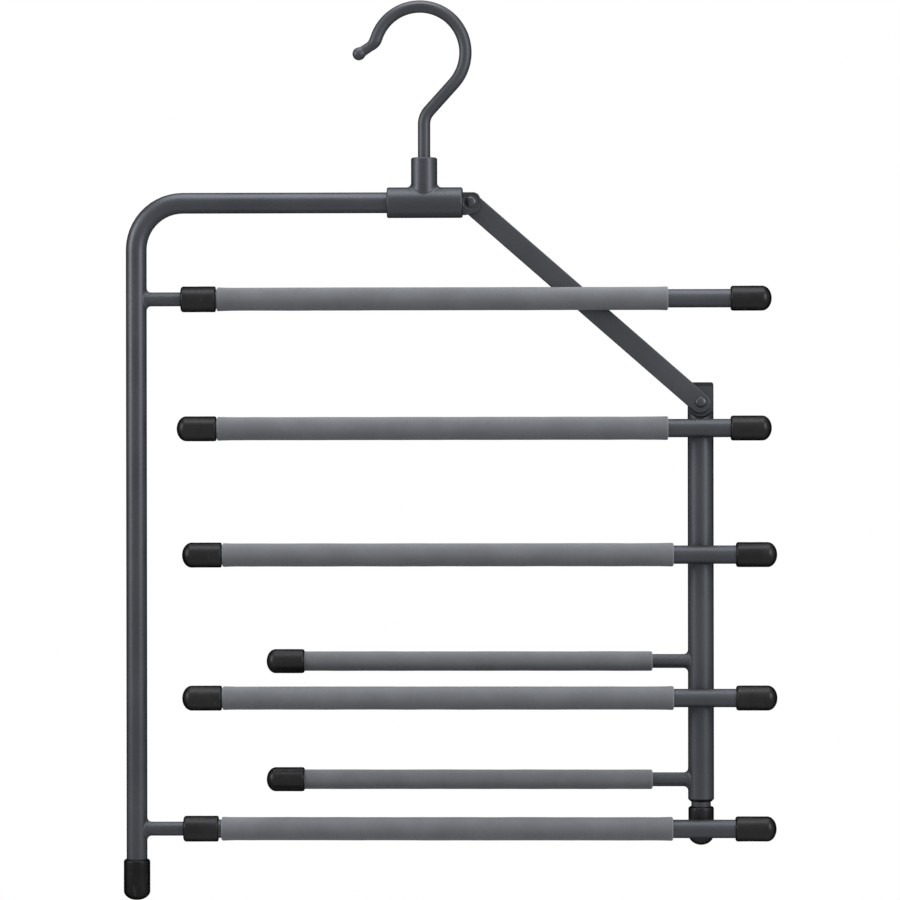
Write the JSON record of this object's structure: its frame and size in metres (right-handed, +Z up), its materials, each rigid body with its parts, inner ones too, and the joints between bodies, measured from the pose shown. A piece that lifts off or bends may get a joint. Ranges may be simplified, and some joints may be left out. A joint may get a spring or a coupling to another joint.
{
  "type": "multi tier trouser hanger",
  "caption": "Swivel hook on a bent tube frame with tiers of sleeved bars and a riveted brace that carries a post of bars.",
  "frame": {"origin": "where a closet rail touches the crown of the hook, on the inside of the wire", "axes": "+X along the bars to the post's side, +Y away from the viewer, +Z up"},
  "size_m": [0.3263, 0.0268, 0.4493],
  "materials": {
    "charcoal_paint": "satin powder coat",
    "grey_sleeve": "matte",
    "black_rubber": "matte",
    "black_plastic": "matte",
    "bare_steel": "turned"
  },
  "bodies": {
    "hook": {"hook_collar": "bare_steel", "hook_wire": "charcoal_paint"},
    "frame": {"bar_1_cap": "black_rubber", "bar_1_ferrule": "black_rubber", "bar_1_sleeve": "grey_sleeve", "bar_1_stub": "charcoal_paint", "bar_1_tube": "charcoal_paint", "bar_5_cap": "black_rubber", "bar_5_ferrule": "black_rubber", "bar_5_sleeve": "grey_sleeve", "bar_5_stub": "charcoal_paint", "bar_5_tube": "charcoal_paint", "frame_foot_cap": "black_rubber", "hanger_tee": "charcoal_paint", "main_tube": "charcoal_paint", "tee_rivet": "charcoal_paint"},
    "brace": {"brace_bar": "charcoal_paint"},
    "post": {"arm_a_cap": "black_rubber", "arm_a_rod": "charcoal_paint", "arm_a_sleeve": "grey_sleeve", "arm_b_cap": "black_rubber", "arm_b_rod": "charcoal_paint", "arm_b_sleeve": "grey_sleeve", "bar_2_cap": "black_rubber", "bar_2_left_cap": "black_rubber", "bar_2_sleeve": "grey_sleeve", "bar_2_tube": "charcoal_paint", "bar_3_cap": "black_rubber", "bar_3_left_cap": "black_rubber", "bar_3_sleeve": "grey_sleeve", "bar_3_tube": "charcoal_paint", "bar_4_cap": "black_rubber", "bar_4_left_cap": "black_rubber", "bar_4_sleeve": "grey_sleeve", "bar_4_tube": "charcoal_paint", "post_bottom_bush": "black_plastic", "post_foot_cap": "black_rubber", "post_rivet": "charcoal_paint", "post_spigot": "charcoal_paint", "post_top_plug": "black_plastic", "post_tube": "charcoal_paint"}
  },
  "joints": [
    {"name": "hook_swivel", "type": "hinge", "parent": "hook", "child": "frame", "pos_m": [0.0025, 0, -0.0726], "axis": [0, 0, 1], "continuous": true},
    {"name": "brace_pivot", "type": "hinge", "parent": "frame", "child": "brace", "pos_m": [0.0257, 0.0076, -0.0943], "axis": [0, -1, 0], "range_deg": [0, 18]},
    {"name": "post_pivot", "type": "hinge", "parent": "brace", "child": "post", "pos_m": [0.14065, 0.0076, -0.19475], "axis": [0, -1, 0], "range_deg": [-18, 0]}
  ],
  "couplings": [
    {"joint": "post_pivot", "follows": "brace_pivot", "ratio": -1}
  ]
}
